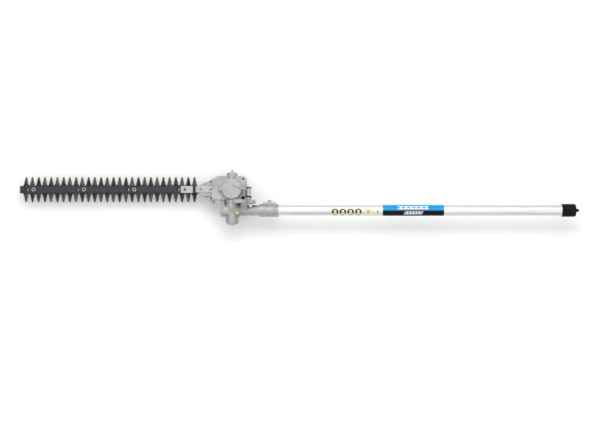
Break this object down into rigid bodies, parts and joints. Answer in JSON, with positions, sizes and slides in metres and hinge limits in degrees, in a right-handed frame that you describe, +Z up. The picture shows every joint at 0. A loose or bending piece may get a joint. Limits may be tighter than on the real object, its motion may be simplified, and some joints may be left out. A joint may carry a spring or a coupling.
{
  "type": "hedge trimmer attachment",
  "caption": "Angle-adjustable hedge trimmer attachment with double-sided reciprocating blades, a swivel gear head, an index plate with a lock plunger, and a straight pole.",
  "frame": {"origin": "on the pole's axis, at the open end of the tube that goes into the power head", "axes": "+X along the pole towards the power head, with the blades along -X; +Y across, in the blades' plane; +Z up, away from the blades' cutting face"},
  "size_m": [1.3408, 0.1329, 0.1127],
  "materials": {
    "cast_aluminium": "sand-cast, bead-blasted",
    "tube_aluminium": "drawn, satin",
    "blade_steel": "blackened, oiled",
    "upper_blade_steel": "blackened, ground bevels",
    "guide_steel": "dark brushed coating",
    "zinc_steel": "zinc plated",
    "gear_steel": "case hardened",
    "plate_steel": "zinc plated, machined rim",
    "brass": "plain",
    "rubber": "matt moulded",
    "black_steel": "black oxide",
    "nylon": "moulded",
    "label_film": "gloss film, blue and black",
    "icon_film": "gloss film, cream and black"
  },
  "bodies": {
    "pole": {"pole_tube": "tube_aluminium", "shaft_bushes": "nylon", "pole_label": "label_film", "icon_stickers": "icon_film", "input_bearings": "gear_steel", "pole_gearcase": "cast_aluminium", "clamp_bolts": "zinc_steel", "locating_screw": "zinc_steel", "end_cover": "cast_aluminium", "twig_guard": "plate_steel", "twig_guard_screws": "zinc_steel", "boss_cap": "cast_aluminium", "boss_nut": "zinc_steel", "grease_plug": "brass", "thrust_washer": "gear_steel", "swivel_clip": "black_steel", "index_plate": "plate_steel", "index_plate_bolts": "zinc_steel", "swivel_bearings": "gear_steel"},
    "cap": {"end_cap": "rubber"},
    "drive_train": {"drive_shaft": "gear_steel", "input_pinion": "gear_steel"},
    "blade_head": {"head_gearcase": "cast_aluminium", "arm_bar": "zinc_steel", "arm_screws": "zinc_steel", "base_cover": "cast_aluminium", "case_screws": "zinc_steel", "cover_screws": "zinc_steel", "wear_plate": "black_steel", "crank_cap": "cast_aluminium", "top_cap": "cast_aluminium", "grease_nipples": "brass", "rubber_plug": "rubber", "plunger_barrel": "zinc_steel", "plunger_nut": "black_steel", "plunger_boot": "rubber", "plunger_spring": "gear_steel", "crank_bearings": "gear_steel", "guide_bar": "guide_steel", "guide_spacers": "zinc_steel", "guide_bolts": "zinc_steel", "guide_washers": "zinc_steel", "guide_nuts": "zinc_steel", "zinc_plate": "zinc_steel"},
    "swivel_train": {"swivel_shaft": "gear_steel", "swivel_bevel": "gear_steel", "head_pinion": "gear_steel"},
    "crank": {"crank_shaft": "gear_steel", "crank_gear": "gear_steel", "upper_cam": "gear_steel", "lower_cam": "gear_steel"},
    "lock_plunger": {"lock_pin": "zinc_steel", "lock_lever": "cast_aluminium"},
    "upper_blade_body": {"upper_blade": "upper_blade_steel"},
    "lower_blade_body": {"lower_blade": "blade_steel"}
  },
  "joints": [
    {"name": "blade_fold", "type": "hinge", "parent": "pole", "child": "blade_head", "pos_m": [-0.818, 0, 0], "axis": [0, 1, 0], "range_deg": [-45, 90]},
    {"name": "drive_shaft_spin", "type": "hinge", "parent": "pole", "child": "drive_train", "pos_m": [-0.4, 0, 0], "axis": [1, 0, 0], "continuous": true},
    {"name": "swivel_shaft_spin", "type": "hinge", "parent": "blade_head", "child": "swivel_train", "pos_m": [-0.818, 0, 0], "axis": [0, 1, 0], "continuous": true},
    {"name": "crank_spin", "type": "hinge", "parent": "blade_head", "child": "crank", "pos_m": [-0.818, 0.0507, 0], "axis": [0, 0, 1], "continuous": true},
    {"name": "upper_blade_slide", "type": "slide", "parent": "blade_head", "child": "upper_blade_body", "axis": [1, 0, 0], "range_m": [-0.006, 0.006]},
    {"name": "lower_blade_slide", "type": "slide", "parent": "blade_head", "child": "lower_blade_body", "axis": [1, 0, 0], "range_m": [-0.006, 0.006]},
    {"name": "lock_plunger_slide", "type": "slide", "parent": "blade_head", "child": "lock_plunger", "axis": [0, 1, 0], "range_m": [-0.006, 0]},
    {"name": "end_cap_pull", "type": "slide", "parent": "pole", "child": "cap", "axis": [1, 0, 0], "range_m": [0, 0.06]}
  ],
  "couplings": [
    {"joint": "swivel_shaft_spin", "follows": "drive_shaft_spin", "ratio": 1},
    {"joint": "crank_spin", "follows": "drive_shaft_spin", "ratio": 0.4},
    {"joint": "lower_blade_slide", "follows": "upper_blade_slide", "ratio": -1}
  ]
}
